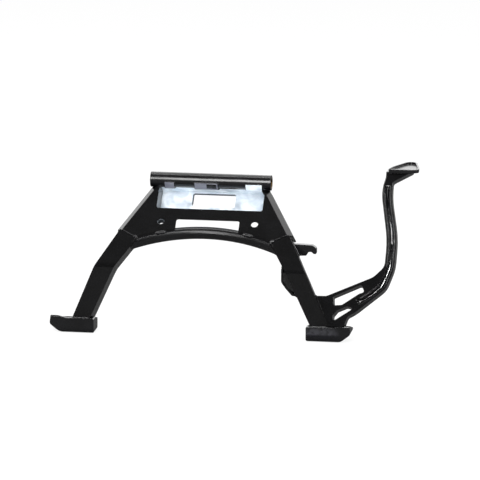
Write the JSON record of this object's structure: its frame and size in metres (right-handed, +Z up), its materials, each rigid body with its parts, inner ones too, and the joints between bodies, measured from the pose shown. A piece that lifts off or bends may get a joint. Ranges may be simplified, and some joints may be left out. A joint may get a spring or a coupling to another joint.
{
  "type": "motorcycle centre stand",
  "caption": "Black arched motorcycle centre stand with a pivot tube, a pressed yoke, splayed legs on foot trays and a cranked foot lever with a dished pedal.",
  "frame": {"origin": "middle of the pivot bore, half way along the pivot tube", "axes": "+X along the pivot towards the foot lever, -Y towards the front of the bike, +Z up with the stand down"},
  "size_m": [0.4677, 0.1434, 0.2111],
  "materials": {
    "black_paint": "gloss",
    "zinc_sheet": "satin",
    "bush_bronze": "satin",
    "stop_rubber": "matt"
  },
  "bodies": {
    "root": {"yoke_plate": "black_paint", "ear_left": "black_paint", "ear_right": "black_paint", "cross_bar": "black_paint", "leg_left": "black_paint", "leg_right": "black_paint", "foot_left": "black_paint", "foot_right": "black_paint", "foot_lever": "black_paint", "pedal": "black_paint", "spring_hook": "black_paint", "stop_bracket": "black_paint", "pivot_tube": "black_paint", "bush_left": "bush_bronze", "bush_right": "bush_bronze", "back_plate": "zinc_sheet", "stop_rubber": "stop_rubber"}
  },
  "joints": []
}
